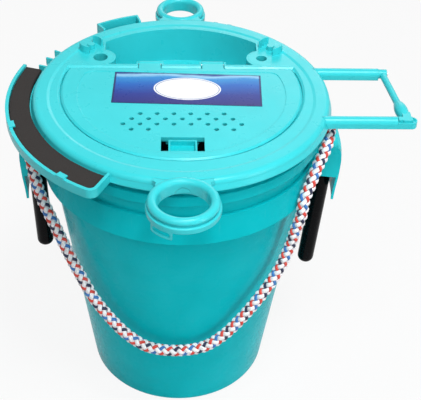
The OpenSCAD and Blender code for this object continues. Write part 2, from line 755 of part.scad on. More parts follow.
// Block in the saddle's outline, drawn in by g, with a round tip
module saddle_block(g, z0, z1) {
    translate([saddle_x - arm_t, -arm_y - arm_r + g, z0])
        cube([saddle_tip_x - saddle_x + arm_t, arm_w - 2 * g, z1 - z0]);
    translate([saddle_tip_x, -arm_y, z0]) cylinder(r = arm_r - g, h = z1 - z0);
}

// Arm with a saddle at its end; the saddle's rim is open on the side that the gate comes from
module pump_arm_front() {
    color(teal) difference() {
        union() {
            translate([0, -arm_y, 0]) pump_arm(saddle_x);
            saddle_block(0, arm_low_z, saddle_z);
            difference() {
                saddle_block(0, saddle_z - tiny, saddle_z + saddle_rim);
                saddle_block(saddle_rim, saddle_z - 1, saddle_z + saddle_rim + 1);
                translate([saddle_x - arm_t - 1, -arm_y, saddle_z])
                    cube([saddle_tip_x - saddle_x + arm_t + 3, arm_w, arm_w]);
                translate([saddle_x - arm_t - 1, -arm_y - arm_w, saddle_z])
                    cube([arm_t + 1, 2 * arm_w, arm_w]);
            }
        }
        lid_seat();
    }
}

module gate_pin() {
    color(steel) translate([arm_back_x - 8, arm_y, arm_z]) rotate([0, 90, 0])
        cylinder(d = gate_pin_d, h = gate_hub_l + 8 + part_gap + 1.5);
}

// Gate that closes the hanger: a hub on the pin, a rod, a thick grip and a tab on the saddle
module hanger_gate() {
    start = [gate_x, arm_y, arm_z];
    end = [gate_front_x - 1, grip_end_y, arm_z];
    run = end - start;
    length = norm(run);
    turn = atan2(run[1], run[0]);
    grip_l = 26;
    tab_y = -arm_y - arm_r + saddle_rim + 0.6;
    color(teal) difference() {
        union() {
            translate([gate_x - gate_hub_l / 2, arm_y, arm_z]) rotate([0, 90, 0])
                cylinder(r = arm_r - 0.8, h = gate_hub_l);
            translate(start) rotate([0, 0, turn]) rotate([0, 90, 0]) {
                cylinder(d = gate_d, h = length - 2);
                translate([0, 0, length - grip_l]) rotate_extrude() polygon(concat([[0, 0]],
                    [for (i = [0:10]) [gate_d / 2 + (grip_d - gate_d) / 2 * sin(15 + 15 * i),
                        grip_l * i / 10]], [[0, grip_l]]));
            }
            translate([gate_front_x - gate_tab_w / 2, tab_y, gate_tab_z])
                cube([gate_tab_w, grip_end_y - tab_y + 4, gate_tab_t]);
            translate([saddle_x + 1, -arm_y - 3, gate_tab_z])
                cube([saddle_tip_x - saddle_x, arm_r + 0.5, gate_tab_t]);
        }
        translate([arm_back_x - 1, arm_y, arm_z]) rotate([0, 90, 0])
            cylinder(r = gate_pin_d / 2 + pin_gap, h = gate_hub_l + 4);
    }
}

// Block between the foam channel's ends, inside a round wall of radius r, drawn in by trim at
// its front end and with a rounded front corner
module channel_block(r, trim, corner, z0, z1) {
    front = foam_a1 - trim * 180 / PI / r;
    middle = [-foam_cx, -foam_cy];
    end_dir = [cos(front), sin(front)];
    inward = [sin(front), -cos(front)];
    offset_c = corner * inward - middle;
    reach = sqrt(pow(end_dir * offset_c, 2) - offset_c * offset_c + pow(r - corner, 2))
        - end_dir * offset_c;
    c = reach * end_dir + corner * inward;
    difference() {
        intersection() {
            translate([middle[0], middle[1], z0]) cylinder(r = r, h = z1 - z0);
            wedge(foam_a0, front, z0, z1);
        }
        translate([0, 0, z0 - 1]) difference() {
            linear_extrude(z1 - z0 + 2) polygon([c, c - (corner + 1) * inward,
                c - (corner + 1) * inward + (corner + 3) * end_dir,
                c + (corner + 1) * unit(c - middle)]);
            translate([c[0], c[1], -1]) cylinder(r = corner, h = z1 - z0 + 4);
        }
    }
}

module foam_channel() {
    tab_t = 1.8;
    color(teal) difference() {
        union() {
            difference() {
                channel_block(foam_r + channel_rim, 0, channel_corner, channel_z, channel_top);
                channel_block(foam_r, channel_rim, channel_corner - channel_rim, foam_z,
                    channel_top + 1);
            }
            for (a = [199.3, 231.6]) intersection() {
                translate([-foam_cx, -foam_cy, channel_top - tiny]) difference() {
                    cylinder(r = foam_r + channel_rim, h = tab_t);
                    translate([0, 0, -1]) cylinder(r = foam_r - 3, h = 4);
                }
                wedge(a - 1.6, a + 1.6, channel_top - 1, channel_top + 3);
            }
        }
        lid_seat();
    }
}

module foam_strip() {
    color([0.2, 0.19, 0.18]) difference() {
        channel_block(foam_r - part_gap, channel_rim + part_gap, channel_corner - channel_rim - part_gap,
            foam_z, foam_z + foam_t);
        translate([0, 0, foam_z - 1]) cylinder(r = skirt_r + part_gap, h = foam_t + 2);
    }
}

// Slot behind the lid for pliers or a knife: two curved walls, a floor and ends
module tool_pocket() {
    angle = pocket_a1 - pocket_a0;
    middle = (pocket_a0 + pocket_a1) / 2;
    in_r = skirt_r + pocket_t;
    out_r = in_r + pocket_w;
    low = skirt_z - pocket_h;
    end_angle = pocket_t / out_r * 180 / PI;
    color(teal) difference() {
        sector(angle, [[skirt_r, low], [out_r + pocket_t, low], [out_r + pocket_t, lid_top + 1],
            [skirt_r - 6, lid_top + 1], [skirt_r - 6, skirt_z], [skirt_r, skirt_z]], middle);
        sector(angle - 2 * end_angle, [[in_r, low + pocket_t], [out_r, low + pocket_t],
            [out_r, lid_top + 2], [lid_r - 10, lid_top + 2], [lid_r - 10, skirt_z + 2],
            [in_r, skirt_z + 2]], middle);
        lid_blank();
        cylinder(r = skirt_in_r + 0.5, h = far);
    }
}

// Line clip: a round peg between two curved horns
module line_clip() {
    color(teal) difference() {
        translate([clip_r, 0, deck_top]) {
            cylinder(r = 4.2, h = 0.6 * clip_h);
            for (turn = [90, 270]) rotate([0, 0, turn - 35]) rotate_extrude(angle = 70)
                polygon([[clip_w - 3, 0], [clip_w, 0], [clip_w - 0.6, clip_h],
                    [clip_w - 2, clip_h]]);
        }
        lid_blank();
    }
}
module line_clip_right() rotate([0, 0, clip_angle]) line_clip();
module line_clip_left() mirror([1, 0, 0]) rotate([0, 0, clip_angle]) line_clip();

// Places of the drain holes, row by row; the last row leaves room for the latch
function drain_xs(row) = row == 0 ? [for (i = [-2.5:1:2.5]) i] : row == 1 ? [for (i = [-3:1:3]) i]
    : row == 2 ? [for (i = [-3.5:1:3.5]) i] : [-3, -2, 2, 3];

module access_hatch() {
    arm_l = hinge_y - hatch_back + 6;
    color(teal) difference() {
        union() {
            difference() {
                union() {
                    hatch_block(0, 0, hatch_low, deck_top - bevel_h + tiny);
                    hatch_block(0, -bevel_w, deck_top - bevel_h, deck_top);
                }
                d_block(field_r, field_cy, field_back, hatch_corner, 0, 0, field_top, deck_top + 1);
            }
            for (side = [-1, 1]) {
                translate([side * hinge_x - knuckle_l / 2, hatch_back - 5, arm_low])
                    cube([knuckle_l, arm_l - 1, deck_top - arm_low]);
                translate([side * hinge_x - knuckle_l / 2, hinge_y, hinge_z]) rotate([0, 90, 0])
                    cylinder(d = knuckle_d, h = knuckle_l);
            }
            // Hooked rails that carry the latch, and the back wall of its window
            for (side = [-1, 1], y = [-window_front - 7, -window_y + 1]) {
                translate([side * (latch_w / 2 + 0.35 + rail_w / 2) - rail_w / 2, y, rail_z])
                    cube([rail_w, 6, hatch_low - rail_z + tiny]);
                translate([side * (latch_w / 2 + 0.35) - rail_w / 2, y, rail_z])
                    cube([rail_w, 6, 1.5]);
            }
            translate([-window_w / 2 - 2, -window_y, latch_plate_z + latch_t + part_gap])
                cube([window_w + 4, 2, hatch_low - latch_plate_z - latch_t - part_gap + tiny]);
        }
        translate([-window_w / 2, -window_front, hatch_low - 1])
            cube([window_w, window_l, hatch_t + 2]);
        for (row = [0:3], i = drain_xs(row)) translate([i * drain_pitch,
            -drain_y - row * drain_row, hatch_low - 1]) cylinder(d = drain_d, h = hatch_t + 2, $fn = 32);
        for (side = [-1, 1]) translate([side * hinge_x - knuckle_l, hinge_y, hinge_z])
            rotate([0, 90, 0]) cylinder(r = pin_d / 2 + pin_gap, h = 2 * knuckle_l);
    }
}

module hatch_label() {
    color([0.15, 0.3, 0.75]) translate([6, 6.5, field_top]) rotate([0, 0, -2])
        translate([-label_w / 2, -label_l / 2, 0]) cube([label_w, label_l, label_t]);
}

// Latch slide: a plate under the hatch and a finger cup in the window
module hatch_latch() {
    front = -window_front + 0.6;
    back = -window_y - latch_travel - 0.5;
    cup_z = latch_plate_z + latch_t;
    tip = -hatch_r + hatch_cy + ledge_w + 1.6;
    plate_l = -window_y + 6 - tip;
    color(deep_teal) {
        translate([-latch_w / 2, tip, latch_plate_z]) cube([latch_w, plate_l, latch_t]);
        for (side = [-1, 1]) {
            translate([side * (latch_w - latch_t) / 2 - latch_t / 2, front, cup_z - tiny])
                cube([latch_t, back - front, latch_top - cup_z]);
            translate([side * (latch_w - latch_t) / 2 - latch_t / 2, tip, cup_z - tiny])
                cube([latch_t, 6, hatch_low - part_gap - cup_z]);
        }
        translate([-latch_w / 2, back - latch_t, cup_z - tiny])
            cube([latch_w, latch_t, latch_top - cup_z]);
    }
}

pail_shell();
rope_ear_left();
rope_ear_right();
rope_handle();
rope_tail_left();
rope_tail_right();
rope_sleeve_left();
rope_sleeve_right();
lid_shell();
lid_gasket();
tackle_tray();
hinge_pin_left();
hinge_pin_right();
rod_ring_front();
rod_ring_back();
pump_arm_front();
pump_arm_back();
gate_pin();
foam_channel();
foam_strip();
tool_pocket();
line_clip_left();
line_clip_right();
rim_fins();
access_hatch();
hatch_label();
hatch_latch();
hanger_gate();
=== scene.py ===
"""Dressed scene of an aerated bait bucket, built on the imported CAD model.

The frame is the CAD frame: origin at the centre of the pail's foot, +Z up, -Y towards the
latch and +X towards the pump hanger. Lengths are in metres.
"""

import logging
import math
from dataclasses import dataclass, field
from enum import Enum

import bpy
from mathutils import Matrix, Vector


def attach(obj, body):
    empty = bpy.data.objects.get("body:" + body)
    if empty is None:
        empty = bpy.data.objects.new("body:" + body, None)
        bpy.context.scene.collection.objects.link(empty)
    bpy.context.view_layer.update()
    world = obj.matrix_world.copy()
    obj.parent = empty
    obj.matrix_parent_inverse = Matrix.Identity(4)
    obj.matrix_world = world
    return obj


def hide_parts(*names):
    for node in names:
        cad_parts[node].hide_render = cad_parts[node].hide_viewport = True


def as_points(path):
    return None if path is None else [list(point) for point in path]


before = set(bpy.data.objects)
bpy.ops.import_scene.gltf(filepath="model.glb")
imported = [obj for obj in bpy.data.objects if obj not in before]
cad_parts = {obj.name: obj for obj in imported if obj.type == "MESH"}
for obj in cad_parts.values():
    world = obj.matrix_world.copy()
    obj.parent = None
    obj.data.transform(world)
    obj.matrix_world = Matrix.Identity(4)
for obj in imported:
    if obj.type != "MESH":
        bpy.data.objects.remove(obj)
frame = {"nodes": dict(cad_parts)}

LOG = logging.getLogger("bait_bucket")
Rgb = tuple[float, float, float]
Point = tuple[float, float, float]
Span = tuple[float, float]
Socket = bpy.types.NodeSocket
Material = bpy.types.Material
MM_PER_M = 1000


class Slot(str, Enum):
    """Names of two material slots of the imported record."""

    ROPE = "rope_braid"
    FOAM = "hook_foam"


class Body(str, Enum):
    """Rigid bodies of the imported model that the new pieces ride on."""

    BUCKET = "bucket"
    LID = "lid"


class Hand(Enum):
    """Side of the pail that a mirrored piece is on."""

    LEFT = -1
    RIGHT = 1


class YarnColour(Enum):
    """Colours of the strands in the rope."""

    WHITE = 0
    RED = 1
    NAVY = 2
    BLUE = 3


def linear(red: int, green: int, blue: int) -> Rgb:
    """Turn a screen colour of 0 to 255 into linear light, by the sRGB curve.

    Args:
        red: Red value.
        green: Green value.
        blue: Blue value.

    Returns:
        The three linear values.
    """
    def one(value: int) -> float:
        """Turn one screen value into linear light."""
        v = value / 255
        return v / 12.92 if v <= 0.04045 else ((v + 0.055) / 1.055) ** 2.4

    return one(red), one(green), one(blue)


def shade_of(tint: Rgb, factor: float, lift: float = 0.0) -> Rgb:
    """Give a tint times a factor plus a lift, held at 1."""
    return tuple(min(1.0, c * factor + lift) for c in tint)


class Recipe:
    """Builds the node tree of one material."""

    # Places of the Mix node's sockets when it mixes colours
    MIX_SHARE, MIX_FIRST, MIX_SECOND = 0, 6, 7
    MIX_RESULT = 2
    BEVEL_SAMPLES = 6

    def __init__(self, name: str) -> None:
        """Start a material with a Principled shader.

        Args:
            name: Name of the material.
        """
        self.material = bpy.data.materials.new(name)
        self.material.use_nodes = True
        self.tree = self.material.node_tree
        self.tree.nodes.clear()
        self.output = self.tree.nodes.new("ShaderNodeOutputMaterial")
        self.shader = self.tree.nodes.new("ShaderNodeBsdfPrincipled")
        self.wire(self.shader.outputs[0], self.output.inputs["Surface"])
        self.coords = self.tree.nodes.new("ShaderNodeTexCoord")

    def wire(self, source: Socket, target: Socket) -> None:
        """Link one socket to another."""
        self.tree.links.new(source, target)

    def set(self, **values: float | tuple) -> None:
        """Set constant sockets of the shader; underscores in a name stand for spaces."""
        for name, value in values.items():
            self.shader.inputs[name.replace("_", " ")].default_value = value

    def place(
        self,
        scale: Point = (1, 1, 1),
        location: Point = (0, 0, 0),
        turn: float = 0.0,
        space: str = "Object",
    ) -> Socket:
        """Give coordinates that are turned about Z, scaled and moved.

        Args:
            scale: Scale along each axis.
            location: Offset added last.
            turn: Turn about Z in radians.
            space: Output of the coordinate node to start from.

        Returns:
            The vector socket.
        """
        node = self.tree.nodes.new("ShaderNodeMapping")
        node.inputs["Scale"].default_value = scale
        node.inputs["Location"].default_value = location
        node.inputs["Rotation"].default_value = (0, 0, turn)
        self.wire(self.coords.outputs[space], node.inputs["Vector"])
        return node.outputs[0]

    def noise(
        self,
        scale: float,
        detail: float = 2.0,
        rough: float = 0.5,
        vector: Socket | None = None,
    ) -> Socket:
        """Give a noise value.

        Args:
            scale: Noise scale per metre.
            detail: Number of octaves.
            rough: Strength of the fine octaves.
            vector: Coordinates, or None for object coordinates.

        Returns:
            The value socket, around 0.5.
        """
        node = self.tree.nodes.new("ShaderNodeTexNoise")
        node.inputs["Scale"].default_value = scale
        node.inputs["Detail"].default_value = detail
        node.inputs["Roughness"].default_value = rough
        self.wire(vector or self.coords.outputs["Object"], node.inputs["Vector"])
        return node.outputs[0]

    def cells(self, scale: float, vector: Socket | None = None) -> Socket:
        """Give the distance to the nearest cell centre of a Voronoi pattern."""
        node = self.tree.nodes.new("ShaderNodeTexVoronoi")
        node.inputs["Scale"].default_value = scale
        self.wire(vector or self.coords.outputs["Object"], node.inputs["Vector"])
        return node.outputs["Distance"]

    def math(self, operation: str, first: Socket | float, second: Socket | float = 0.0) -> Socket:
        """Combine two values with a Math node.

        Args:
            operation: Name of the operation.
            first: First value or socket.
            second: Second value or socket.

        Returns:
            The value socket.
        """
        node = self.tree.nodes.new("ShaderNodeMath")
        node.operation = operation
        for socket, value in zip(node.inputs, (first, second)):
            if isinstance(value, Socket):
                self.wire(value, socket)
            else:
                socket.default_value = value
        return node.outputs[0]

    def spread(self, value: Socket, span: Span, to: Span) -> Socket:
        """Map a value from one range to another, held at the ends.

        Args:
            value: The value socket.
            span: Low and high end of the range it comes from.
            to: What it becomes at the low and at the high end.

        Returns:
            The mapped value.
        """
        node = self.tree.nodes.new("ShaderNodeMapRange")
        names = ("From Min", "From Max", "To Min", "To Max")
        for name, number in zip(names, (*span, *to)):
            node.inputs[name].default_value = number
        self.wire(value, node.inputs["Value"])
        return node.outputs[0]

    def ramp(self, value: Socket, stops: list[tuple[float, Rgb]]) -> Socket:
        """Give the colour of a ramp at a value.

        Args:
            value: Place on the ramp, 0 to 1.
            stops: Places and linear colours.

        Returns:
            The colour socket.
        """
        node = self.tree.nodes.new("ShaderNodeValToRGB")
        elements = node.color_ramp.elements
        while len(elements) < len(stops):
            elements.new(0.5)
        for element, (place, colour) in zip(elements, stops):
            element.position = place
            element.color = (*colour, 1.0)
        self.wire(value, node.inputs[0])
        return node.outputs[0]

    def mix(self, share: Socket | float, first: Socket | Rgb, second: Socket | Rgb) -> Socket:
        """Mix two colours.

        Args:
            share: Share of the second colour.
            first: First colour or socket.
            second: Second colour or socket.

        Returns:
            The colour socket.
        """
        node = self.tree.nodes.new("ShaderNodeMix")
        node.data_type = "RGBA"
        values = {self.MIX_SHARE: share, self.MIX_FIRST: first, self.MIX_SECOND: second}
        for index, value in values.items():
            if isinstance(value, Socket):
                self.wire(value, node.inputs[index])
            elif isinstance(value, tuple):
                node.inputs[index].default_value = (*value, 1.0)
            else:
                node.inputs[index].default_value = value
        return node.outputs[self.MIX_RESULT]

    def paint(self, colour: Socket) -> None:
        """Link a colour to the shader's base colour."""
        self.wire(colour, self.shader.inputs["Base Color"])

    def polish(self, roughness: Socket) -> None:
        """Link a value to the shader's roughness."""
        self.wire(roughness, self.shader.inputs["Roughness"])

    def soften(self, radius: float) -> None:
        """Shade edges as if they were rounded; called before any bump."""
        node = self.tree.nodes.new("ShaderNodeBevel")
        node.samples = self.BEVEL_SAMPLES
        node.inputs["Radius"].default_value = radius
        self.wire(node.outputs[0], self.shader.inputs["Normal"])

    def bump(self, height: Socket, strength: float, distance: float) -> None:
        """Raise the surface by a height value; several calls add up.

        Args:
            height: Height socket, 0 to 1.
            strength: Strength of the bump.
            distance: Height of 1 in metres.
        """
        node = self.tree.nodes.new("ShaderNodeBump")
        node.inputs["Strength"].default_value = strength
        node.inputs["Distance"].default_value = distance
        self.wire(height, node.inputs["Height"])
        if self.shader.inputs["Normal"].is_linked:
            self.wire(self.shader.inputs["Normal"].links[0].from_socket, node.inputs["Normal"])
        self.wire(node.outputs[0], self.shader.inputs["Normal"])


@dataclass(frozen=True)
class MouldedPlastic:
    """Glossy injection moulded polyethylene.

    Args:
        tint: Linear colour.
        ior: Index of refraction, which sets how much its sides mirror.
        edge: Radius of the softened edges in metres.
        depth: How much darker and paler the flow marks are.
        roughness: Middle roughness.
        scuff: Strength of the fine upright scuffs.
        grain: Height of the orange peel in metres.
        chalk: Linear colour of the scuffs.
    """

    tint: Rgb
    ior: float
    edge: float = 0.0007
    depth: float = 0.04
    roughness: float = 0.3
    scuff: float = 0.5
    grain: float = 0.00012
    chalk: Rgb = (0.75, 0.9, 0.9)

    def build(self, name: str) -> Material:
        """Make the material."""
        r = Recipe(name)
        r.set(IOR=self.ior)
        flow = r.noise(scale=9.0, detail=3.0, rough=0.55)
        cloud = r.noise(scale=38.0, detail=2.0, rough=0.5)
        shade = r.math("ADD", r.math("MULTIPLY", flow, 0.7), r.math("MULTIPLY", cloud, 0.3))
        dark = shade_of(self.tint, 1 - self.depth)
        pale = shade_of(self.tint, 1 + self.depth, lift=0.004)
        colour = r.ramp(shade, [(0.34, dark), (0.5, self.tint), (0.66, pale)])
        upright = r.place(scale=(260, 260, 14))
        scuffs = r.noise(scale=1.0, detail=4.0, rough=0.7, vector=upright)
        marks = r.spread(scuffs, (0.62, 0.78), (0.0, 0.05 * self.scuff))
        r.paint(r.mix(marks, colour, self.chalk))
        haze = r.noise(scale=60.0, detail=4.0, rough=0.6)
        rough = r.spread(haze, (0.3, 0.7), (self.roughness - 0.05, self.roughness + 0.07))
        r.polish(r.math("ADD", rough, marks))
        r.soften(self.edge)
        peel = r.noise(scale=700.0, detail=2.0, rough=0.5)
        r.bump(peel, strength=0.2, distance=self.grain)
        r.bump(scuffs, strength=0.12 * self.scuff, distance=self.grain)
        return r.material


@dataclass(frozen=True)
class MouldedRubber:
    """Black rubber, dipped and glossy or matte.

    Args:
        tint: Linear colour.
        roughness: Middle roughness.
        grain: Height of the surface grain in metres.
        ior: Index of refraction, which sets how much its sides mirror.
    """

    tint: Rgb = (0.002, 0.002, 0.0025)
    roughness: float = 0.2
    grain: float = 0.0001
    ior: float = 1.16

    def build(self, name: str) -> Material:
        """Make the material."""
        r = Recipe(name)
        r.set(IOR=self.ior)
        dust = r.noise(scale=240.0, detail=5.0, rough=0.65)
        share = r.spread(dust, (0.5, 0.75), (0.0, 0.6))
        r.paint(r.mix(share, self.tint, shade_of(self.tint, 2, lift=0.003)))
        r.polish(r.spread(dust, (0.3, 0.7), (self.roughness - 0.04, self.roughness + 0.12)))
        pores = r.noise(scale=420.0, detail=3.0, rough=0.5)
        r.bump(pores, strength=0.25, distance=self.grain)
        return r.material


@dataclass(frozen=True)
class HookFoam:
    """Closed-cell foam, dark grey, with cut cells on its face.

    Args:
        tint: Linear colour.
        cell: Cells per metre.
        pit: Depth of a cut cell in metres.
    """

    tint: Rgb = linear(50, 47, 46)
    cell: float = 1500.0
    pit: float = 0.0004

    def build(self, name: str) -> Material:
        """Make the material."""
        r = Recipe(name)
        r.set(IOR=1.45, Specular_IOR_Level=0.2)
        cells = r.cells(self.cell)
        blotch = r.noise(scale=30.0, detail=4.0, rough=0.6)
        low, high = shade_of(self.tint, 0.72), shade_of(self.tint, 1.25)
        # Darker at the middle of each cut cell, where the bump sinks the pits: painted shade in the
        # pits, mixed with a random blotchy tone.
        shade = r.math("ADD", r.math("MULTIPLY", cells, 0.6), r.math("MULTIPLY", blotch, 0.5))
        r.paint(r.ramp(shade, [(0.25, low), (0.5, self.tint), (0.8, high)]))
        r.polish(r.spread(blotch, (0.3, 0.7), (0.78, 0.92)))
        r.bump(cells, strength=0.6, distance=self.pit)
        return r.material


@dataclass(frozen=True)
class DrawnSteel:
    """Drawn steel wire with fine lines along it.

    Args:
        tint: Linear colour.
        groove: Depth of the drawn lines in metres.
    """

    tint: Rgb = (0.58, 0.59, 0.61)
    groove: float = 0.00004

    def build(self, name: str) -> Material:
        """Make the material."""
        r = Recipe(name)
        r.set(Metallic=1.0)
        stretched = r.place(scale=(60, 4000, 4000))
        lines = r.noise(scale=1.0, detail=3.0, rough=0.6, vector=stretched)
        r.paint(r.mix(lines, shade_of(self.tint, 0.8), self.tint))
        r.polish(r.spread(lines, (0.2, 0.8), (0.22, 0.38)))
        r.bump(lines, strength=0.2, distance=self.groove)
        return r.material


@dataclass(frozen=True)
class PrintedFilm:
    """Printed label: a sea-blue gradient with soft waves and a plain white oval.

    Args:
        centre: Middle of the label in the frame, x and y.
        turn: Turn of the label about Z in radians.
        width: Width of the label.
        length: Length of the label.
        oval: Half width and half length of the oval, as shares of the label's halves.
        line: Outer half width and half length of the thin line inside the oval.
        inside: Inner half width and half length of that line.
        border: Where the dark border starts across and along, as shares.
        sea: Places and linear colours of the gradient, from the near edge to the far edge.
    """

    centre: tuple[float, float]
    turn: float
    width: float
    length: float
    oval: Span = (0.455, 0.72)
    line: Span = (0.435, 0.67)
    inside: Span = (0.425, 0.645)
    border: Span = (0.975, 0.965)
    sea: tuple[tuple[float, Rgb], ...] = (
        (0.0, linear(34, 28, 108)),
        (0.35, linear(24, 48, 140)),
        (0.65, linear(14, 96, 184)),
        (0.85, linear(40, 140, 206)),
        (0.93, linear(150, 205, 235)),
        (0.985, linear(22, 60, 140)),
    )

    def build(self, name: str) -> Material:
        """Make the material."""
        r = Recipe(name)
        r.set(IOR=1.48, Specular_IOR_Level=0.22)
        c, s = math.cos(-self.turn), math.sin(-self.turn)
        x, y = self.centre
        shift = (-(c * x - s * y), -(s * x + c * y), 0.0)
        split = r.tree.nodes.new("ShaderNodeSeparateXYZ")
        r.wire(r.place(location=shift, turn=-self.turn), split.inputs[0])
        across = r.math("DIVIDE", split.outputs[0], self.width / 2)
        along = r.math("DIVIDE", split.outputs[1], self.length / 2)
        oval = self._ellipse(r, across, along, self.oval)
        ink = r.mix(oval, self._sea(r, across, along), linear(238, 240, 243))
        line = r.math(
            "SUBTRACT",
            self._ellipse(r, across, along, self.line),
            self._ellipse(r, across, along, self.inside),
        )
        ink = r.mix(line, ink, linear(96, 120, 170))
        side = r.math("GREATER_THAN", r.math("ABSOLUTE", across), self.border[0])
        edge = r.math("GREATER_THAN", r.math("ABSOLUTE", along), self.border[1])
        rim = r.math("MULTIPLY", r.math("MAXIMUM", side, edge), 0.92)
        r.paint(r.mix(rim, ink, linear(20, 28, 90)))
        haze = r.noise(scale=120.0, detail=3.0, rough=0.6)
        r.polish(r.spread(haze, (0.3, 0.7), (0.24, 0.36)))
        swell = r.noise(scale=160.0, detail=2.0, rough=0.5)
        r.bump(swell, strength=0.12, distance=0.0001)
        return r.material

    def _sea(self, r: Recipe, across: Socket, along: Socket) -> Socket:
        """Give the colour of the gradient, whose bands sway and ripple."""
        sway = r.math("SINE", r.math("MULTIPLY", across, 5.5))
        wave = r.math("ADD", along, r.math("MULTIPLY", sway, 0.06))
        flat = r.place(scale=(0.5, 2.2, 1))
        noise = r.noise(scale=90.0, detail=3.0, rough=0.5, vector=flat)
        height = r.spread(r.math("ADD", wave, r.math("MULTIPLY", noise, 0.18)), (-1.0, 1.1), (0.0, 1.0))
        return r.ramp(height, list(self.sea))

    def _ellipse(self, r: Recipe, across: Socket, along: Socket, half: Span) -> Socket:
        """Give 1 inside an ellipse about the label's middle and 0 outside it."""
        u = r.math("POWER", r.math("ABSOLUTE", r.math("DIVIDE", across, half[0])), 2.0)
        v = r.math("POWER", r.math("ABSOLUTE", r.math("DIVIDE", along, half[1])), 2.0)
        return r.math("LESS_THAN", r.math("ADD", u, v), 1.0)


@dataclass(frozen=True)
class BraidYarn:
    """Polyester yarn of one colour, with its filaments along the strand.

    Args:
        tint: Linear colour.
        thread: Height of a filament in metres.
    """

    tint: Rgb
    thread: float = 0.00025

    def build(self, name: str) -> Material:
        """Make the material."""
        r = Recipe(name)
        r.set(IOR=1.5, Sheen_Weight=0.15)
        lengthwise = r.place(scale=(34, 1.2, 1), space="UV")
        threads = r.noise(scale=1.0, detail=3.0, rough=0.6, vector=lengthwise)
        dark, pale = shade_of(self.tint, 0.5), shade_of(self.tint, 1.12, lift=0.01)
        r.paint(r.ramp(threads, [(0.3, dark), (0.48, self.tint), (0.7, pale)]))
        r.polish(r.spread(threads, (0.3, 0.7), (0.5, 0.7)))
        r.bump(threads, strength=0.5, distance=self.thread)
        return r.material


class Finishes:
    """The finishes of the bucket, each made once."""

    YARN_TINTS = {
        YarnColour.WHITE: linear(246, 246, 250),
        YarnColour.RED: linear(214, 62, 48),
        YarnColour.NAVY: linear(14, 24, 62),
        YarnColour.BLUE: linear(48, 116, 186),
    }

    def __init__(self) -> None:
        """Make every material."""
        self.pail = MouldedPlastic(
            (0.002, 0.535, 0.595), ior=1.1, edge=0.0012, roughness=0.27, scuff=0.6
        ).build("pail_polyethylene")
        # The lid's tint has its red raised to stand in for part of the pale sheen on the lid's top,
        # which its lower IOR gives less of. It is partly the plastic's own colour and partly painted
        # sheen, on every face of every piece that takes it.
        self.lid = MouldedPlastic((0.034, 0.605, 0.655), ior=1.36, scuff=0.25).build("lid_polyethylene")
        self.ear = MouldedPlastic(
            (0.01, 0.64, 0.69), ior=1.2, roughness=0.28, scuff=0.4
        ).build("ear_polyethylene")
        self.latch = MouldedPlastic(
            (0.01, 0.57, 0.62), ior=1.3, roughness=0.28, scuff=0.3
        ).build("latch_polyethylene")
        self.sleeve = MouldedRubber().build("dipped_rubber")
        self.gasket = MouldedRubber(
            (0.02, 0.02, 0.02), roughness=0.6, grain=0.0002
        ).build("gasket_rubber")
        self.foam = HookFoam().build("hook_foam")
        self.steel = DrawnSteel().build("drawn_steel")
        self.label = PrintedFilm(
            centre=(0.006, 0.0065), turn=math.radians(-2), width=0.160, length=0.061
        ).build("label_film")
        self.yarns = {
            colour: BraidYarn(tint).build(f"yarn_{colour.name.lower()}")
            for colour, tint in self.YARN_TINTS.items()
        }


@dataclass
class MeshSheet:
    """Collects rings of points and skins them into one mesh."""

    points: list[Vector] = field(default_factory=list)
    faces: list[tuple[int, ...]] = field(default_factory=list)
    slots: list[int] = field(default_factory=list)
    uvs: list[tuple[tuple[float, float], ...]] = field(default_factory=list)

    def loft(self, rings: list[list[Vector]], slot: int = 0, along: float = 1.0) -> None:
        """Skin rings of equal length and close both ends with one face each.

        Args:
            rings: Rings of points, each closed on itself.
            slot: Material slot of the faces.
            along: Length of one ring step in the second texture coordinate.
        """
        base, n, count = len(self.points), len(rings[0]), len(rings)
        for ring in rings:
            self.points.extend(ring)
        for i in range(count - 1):
            a, b = base + i * n, base + (i + 1) * n
            for k in range(n):
                m = (k + 1) % n
                self.faces.append((a + k, a + m, b + m, b + k))
                self.slots.append(slot)
                u, v, w, z = k / n, (k + 1) / n, i * along, (i + 1) * along
                self.uvs.append(((u, w), (v, w), (v, z), (u, z)))
        for start, order in ((base, range(n - 1, -1, -1)), (base + (count - 1) * n, range(n))):
            self.faces.append(tuple(start + k for k in order))
            self.slots.append(slot)
            self.uvs.append(tuple((k / n, 0.0) for k in order))

    def build(self, name: str, materials: list[Material]) -> bpy.types.Object:
        """Make the object, shaded smooth.

        Args:
            name: Name of the piece.
            materials: Materials in slot order.

        Returns:
            The new object, linked to the scene.
        """
        mesh = bpy.data.meshes.new(name)
        mesh.from_pydata([tuple(p) for p in self.points], [], self.faces)
        for material in materials:
            mesh.materials.append(material)
        layer = mesh.uv_layers.new(name="UVMap")
        flat = [value for face in self.uvs for pair in face for value in pair]
        layer.data.foreach_set("uv", flat)
        mesh.polygons.foreach_set("material_index", self.slots)
        mesh.polygons.foreach_set("use_smooth", [True] * len(self.faces))
        mesh.update()
        piece = bpy.data.objects.new(name, mesh)
        bpy.context.scene.collection.objects.link(piece)
        return piece


